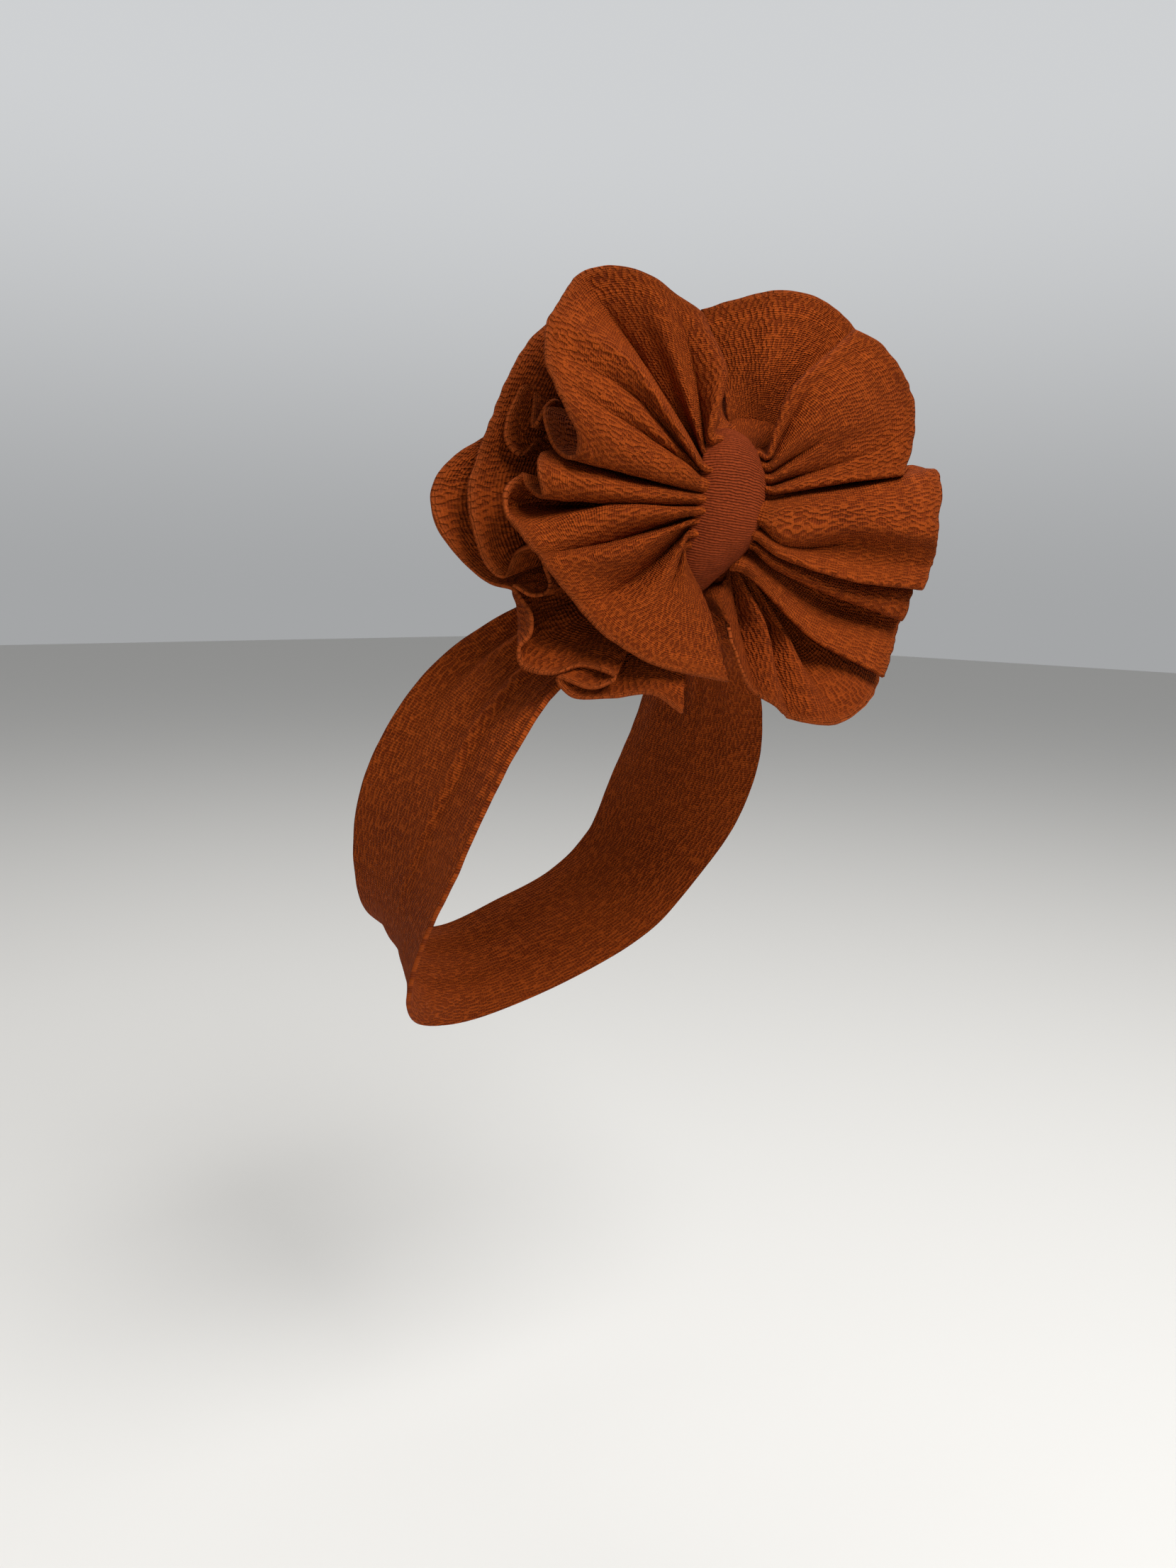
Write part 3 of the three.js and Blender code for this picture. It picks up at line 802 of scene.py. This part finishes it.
def knitMaterial(name):
    knit = knits[name]
    material = bpy.data.materials.new(name + "_cloth")
    material.use_nodes = True
    tree = material.node_tree
    tree.nodes.clear()
    flat = {"noise_dimensions": "2D"}
    times = {"operation": "MULTIPLY"}
    timesPlus = {"operation": "MULTIPLY_ADD"}
    sine = {"operation": "SINE"}
    uv = addNode(tree, "ShaderNodeUVMap", {"uv_map": "knit"})
    split = addNode(tree, "ShaderNodeSeparateXYZ", Vector=uv)
    u = split.outputs["X"]
    v = split.outputs["Y"]

    # raised strokes with dark grooves between them, longest along u
    perLength = 1 / (knit["strokeLong"] * millimetre)
    perWidth = 1 / (knit["strokeWide"] * millimetre)
    strokeU = addNode(tree, "ShaderNodeMath", times, i0=u, i1=perLength)
    strokeV = addNode(tree, "ShaderNodeMath", times, i0=v, i1=perWidth)
    strokePlace = addNode(tree, "ShaderNodeCombineXYZ", X=strokeU, Y=strokeV)
    strokes = addNode(tree, "ShaderNodeTexNoise", flat, Vector=strokePlace, **grain["strokes"])

    # faint staggered rows that sway: strokes and gaps change places from one line to the next
    rowTurn = 2 * math.pi / (knit["strokeGap"] * millimetre)
    lineTurn = math.pi / (knit["strokeLong"] * millimetre)
    sway = addNode(tree, "ShaderNodeTexNoise", flat, Vector=uv, **grain["sway"])
    rowPhase = addNode(tree, "ShaderNodeMath", times, i0=v, i1=rowTurn)
    linePhase = addNode(tree, "ShaderNodeMath", times, i0=u, i1=lineTurn)
    rowPlace = addNode(tree, "ShaderNodeMath", timesPlus, i0=sway, i1=grain["rowSway"], i2=rowPhase)
    linePlace = addNode(tree, "ShaderNodeMath", timesPlus,
                        i0=sway, i1=grain["lineSway"], i2=linePhase)
    rows = addNode(tree, "ShaderNodeMath", sine, i0=rowPlace)
    lines = addNode(tree, "ShaderNodeMath", sine, i0=linePlace)
    staggered = addNode(tree, "ShaderNodeMath", times, i0=rows, i1=lines)
    mixed = addNode(tree, "ShaderNodeMath", timesPlus, i0=staggered, i1=grain["stagger"], i2=strokes)
    stroke = addNode(tree, "ShaderNodeMapRange", {"interpolation_type": "SMOOTHSTEP"},
                     Value=mixed, From_Min=grain["strokeFrom"], From_Max=grain["strokeTo"])

    # ribs: the knit's courses across the wing, 0 in a groove and 1 on a rib, broken into stitches
    ribTurn = 2 * math.pi / (knit["rib"] * millimetre)
    wobble = addNode(tree, "ShaderNodeTexNoise", flat, Vector=uv, **grain["wobble"])
    ribPhase = addNode(tree, "ShaderNodeMath", times, i0=u, i1=ribTurn)
    ribPlace = addNode(tree, "ShaderNodeMath", timesPlus, i0=wobble, i1=grain["ribSway"], i2=ribPhase)
    ribWave = addNode(tree, "ShaderNodeMath", sine, i0=ribPlace)
    rib = addNode(tree, "ShaderNodeMath", timesPlus, i0=ribWave, i1=0.5, i2=0.5)
    stitches = addNode(tree, "ShaderNodeTexNoise", flat, Vector=uv, **grain["stitches"])

    height = addNode(tree, "ShaderNodeMath", times, i0=stroke, i1=knit["strokeDepth"])
    height = addNode(tree, "ShaderNodeMath", timesPlus, i0=rib, i1=knit["ribDepth"], i2=height)
    height = addNode(tree, "ShaderNodeMath", timesPlus, i0=stitches, i1=grain["stitchDepth"], i2=height)

    # colour: dark in the grooves and in the stitches and lighter where the yarn stands proud, as
    # painted shade and painted highlight
    patches = addNode(tree, "ShaderNodeTexNoise", flat, Vector=uv, **grain["patches"])
    tone = addNode(tree, "ShaderNodeMath", timesPlus,
                   i0=patches, i1=grain["patchTone"], i2=grain["darkest"])
    tone = addNode(tree, "ShaderNodeMath", timesPlus, i0=height, i1=grain["reliefShadeAndHighlight"], i2=tone)
    ramp = addNode(tree, "ShaderNodeValToRGB", i0=tone)
    stops = ramp.color_ramp.elements
    stops[0].position = 0.0
    stops[0].color = linear(knit["deep"])
    stops[1].position = grain["yarnAt"]
    stops[1].color = linear(knit["yarn"])
    between = stops.new(grain["shadeAt"])
    between.color = linear(knit["shade"])

    # the raw edge shows the knit's cut end
    rim = addNode(tree, "ShaderNodeAttribute", {"attribute_name": "rim", "attribute_type": "GEOMETRY"})
    rimShare = addNode(tree, "ShaderNodeMath", times, i0=rim.outputs["Fac"], i1=grain["rimShare"])
    edged = addNode(tree, "ShaderNodeMix", {"data_type": "RGBA"},
                    i0=rimShare, i6=ramp, i7=linear(knit["rimTint"]))

    bump = addNode(tree, "ShaderNodeBump",
                   Height=height, Strength=1.0, Distance=grain["bump"] * millimetre)
    cloth = addNode(tree, "ShaderNodeBsdfPrincipled", Base_Color=edged.outputs[2], Normal=bump,
                    Roughness=grain["roughness"], Metallic=0.0, IOR=grain["ior"],
                    Specular_IOR_Level=grain["specular"], Sheen_Weight=grain["sheen"],
                    Sheen_Roughness=grain["sheenRoughness"], Sheen_Tint=linear(grain["sheenTint"]))
    addNode(tree, "ShaderNodeOutputMaterial", Surface=cloth)
    return material


# Build the pieces

cloths = {name: knitMaterial(name) for name in knits}
print("materials done")
for name, layer in bowLayers.items():
    bowLayer(name).data.materials.append(cloths[layer["slot"]])
knotStrip().data.materials.append(cloths[knot["slot"]])
headband().data.materials.append(cloths[band["slot"]])

# Studio: a pale floor of matt paper, soft lights, and air that is paler behind the wrap

studio = {
    "floorAt": -260,
    "floorHalf": 6000,
    "paper": "#DDDBD7",
    "paperRoughness": 0.9,
    "lights": {
        "key": {"place": (-150, -950, 1100), "target": (0, -30, 100), "size": 700, "power": 24},
        "fill": {"place": (-1300, -600, 400), "target": (0, 0, 50), "size": 1200, "power": 2.4},
        "top": {"place": (200, 400, 1500), "target": (0, 0, 100), "size": 1200, "power": 9},
    },
    "airColour": "#E4E6E8",
    "air": 0.3,
    "airBehind": 0.8,
    "behind": (0.73, 0.68, 0),  # the direction that counts as behind
    "behindFrom": -0.2,  # how far a view faces that way where the air starts to grow paler
    "behindTo": 0.8,
    "airLow": 0.6,  # share of the air that is left near the floor
    "lowTo": -0.02,
    "highFrom": 0.35,
}


def studioMaterial():
    material = bpy.data.materials.new("matt_paper")
    material.use_nodes = True
    shader = material.node_tree.nodes["Principled BSDF"]
    shader.inputs["Base Color"].default_value = linear(studio["paper"])
    shader.inputs["Roughness"].default_value = studio["paperRoughness"]
    return material


def floorSheet():
    mesh = bpy.data.meshes.new("floor")
    build = bmesh.new()
    bmesh.ops.create_grid(build, x_segments=2, y_segments=2, size=studio["floorHalf"] * millimetre)
    bmesh.ops.translate(build, verts=build.verts, vec=(0, 0, studio["floorAt"] * millimetre))
    build.to_mesh(mesh)
    build.free()
    floor = bpy.data.objects.new("floor", mesh)
    bpy.context.scene.collection.objects.link(floor)
    floor.data.materials.append(studioMaterial())


def softLight(name):
    lamp = studio["lights"][name]
    place = Vector([value * millimetre for value in lamp["place"]])
    target = Vector([value * millimetre for value in lamp["target"]])
    light = bpy.data.lights.new(name, "AREA")
    light.size = lamp["size"] * millimetre
    light.energy = lamp["power"]
    holder = bpy.data.objects.new(name, light)
    holder.location = place
    holder.rotation_euler = (target - place).to_track_quat("-Z", "Y").to_euler()
    bpy.context.scene.collection.objects.link(holder)


def studioAir():
    world = bpy.data.worlds.new("studio")
    world.use_nodes = True
    sky = world.node_tree
    eased = {"interpolation_type": "SMOOTHSTEP"}
    heading = addNode(sky, "ShaderNodeTexCoord").outputs["Generated"]
    facing = addNode(sky, "ShaderNodeVectorMath", {"operation": "DOT_PRODUCT"},
                     i0=heading, i1=studio["behind"])
    glow = addNode(sky, "ShaderNodeMapRange", eased, Value=facing.outputs["Value"],
                   From_Min=studio["behindFrom"], From_Max=studio["behindTo"],
                   To_Min=studio["air"], To_Max=studio["airBehind"])
    height = addNode(sky, "ShaderNodeSeparateXYZ", Vector=heading)
    fade = addNode(sky, "ShaderNodeMapRange", eased, Value=height.outputs["Z"],
                   From_Min=studio["lowTo"], From_Max=studio["highFrom"],
                   To_Min=studio["airLow"], To_Max=1.0)
    strength = addNode(sky, "ShaderNodeMath", {"operation": "MULTIPLY"}, i0=glow, i1=fade)
    backdrop = sky.nodes["Background"]
    backdrop.inputs[0].default_value = linear(studio["airColour"])
    sky.links.new(strength.outputs[0], backdrop.inputs[1])
    bpy.context.scene.world = world


floorSheet()
for name in studio["lights"]:
    softLight(name)
studioAir()
bpy.context.scene.view_settings.view_transform = "Standard"
print("studio done")
